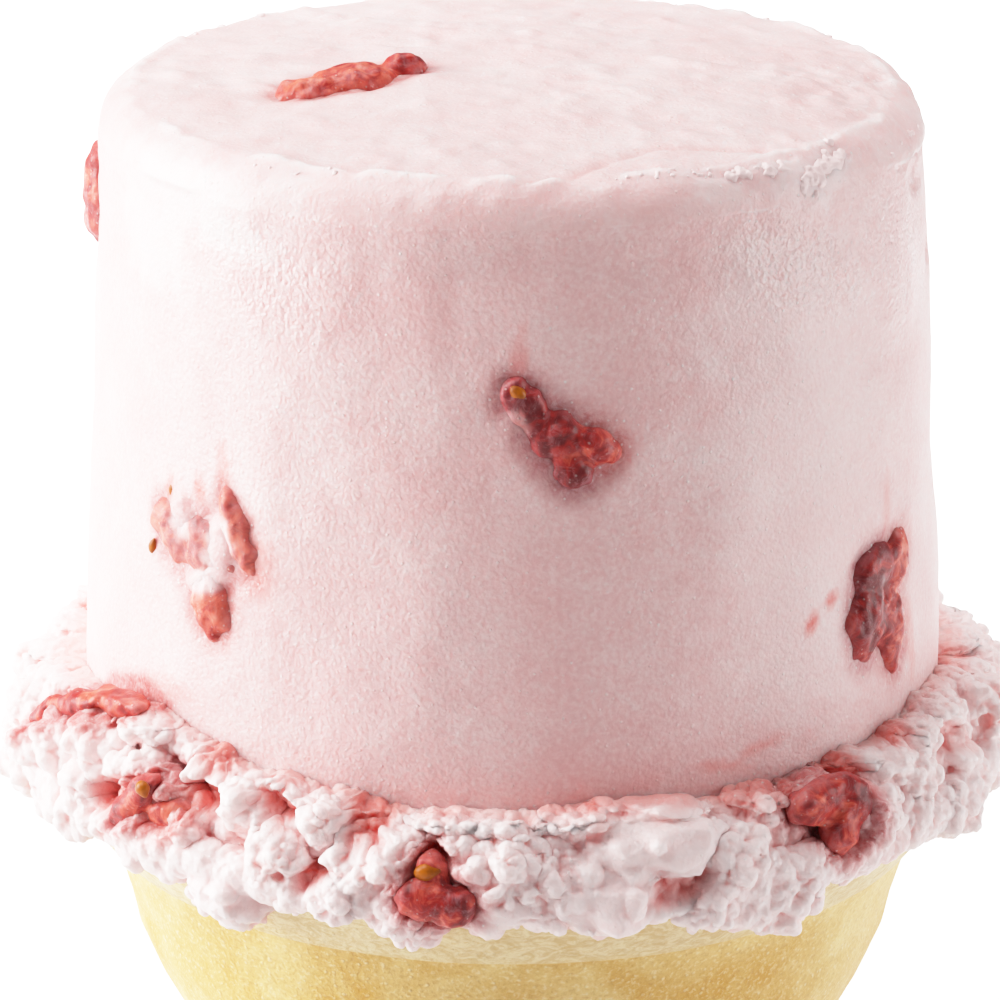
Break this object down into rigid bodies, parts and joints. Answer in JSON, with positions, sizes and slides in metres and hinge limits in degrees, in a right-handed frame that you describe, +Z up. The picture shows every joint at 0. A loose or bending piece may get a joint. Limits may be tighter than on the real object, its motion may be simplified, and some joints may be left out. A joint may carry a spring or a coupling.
{
  "type": "strawberry ice cream in a wafer cone",
  "caption": "Pressed scoop of pale pink strawberry ice cream with fruit pieces, standing in a flat-bottomed wafer cone, its crumbly skirt hanging over the rim.",
  "frame": {"origin": "centre of the cone's flat base, where it rests", "axes": "+Z up the cone's axis, towards the scoop's top; the pictured side faces -Y"},
  "size_m": [0.0643, 0.064, 0.1226],
  "materials": {
    "wafer": "baked wafer, matt, mottled golden",
    "ice_cream": "frosty, pale pink, slightly wet",
    "strawberry": "wet, translucent, dark red with amber seeds"
  },
  "bodies": {
    "root": {"cone": "wafer", "ice_cream": "ice_cream", "fruit_top": "strawberry", "fruit_left_edge": "strawberry", "fruit_front_left": "strawberry", "fruit_centre": "strawberry", "fruit_right": "strawberry", "fruit_skirt_left_strip": "strawberry", "fruit_skirt_left": "strawberry", "fruit_skirt_front": "strawberry", "fruit_skirt_right": "strawberry", "fruit_back_upper": "strawberry", "fruit_back_lower": "strawberry", "fruit_back_right": "strawberry", "fruit_back_left": "strawberry", "fruit_skirt_back_right": "strawberry", "fruit_skirt_back_left": "strawberry"}
  },
  "joints": []
}
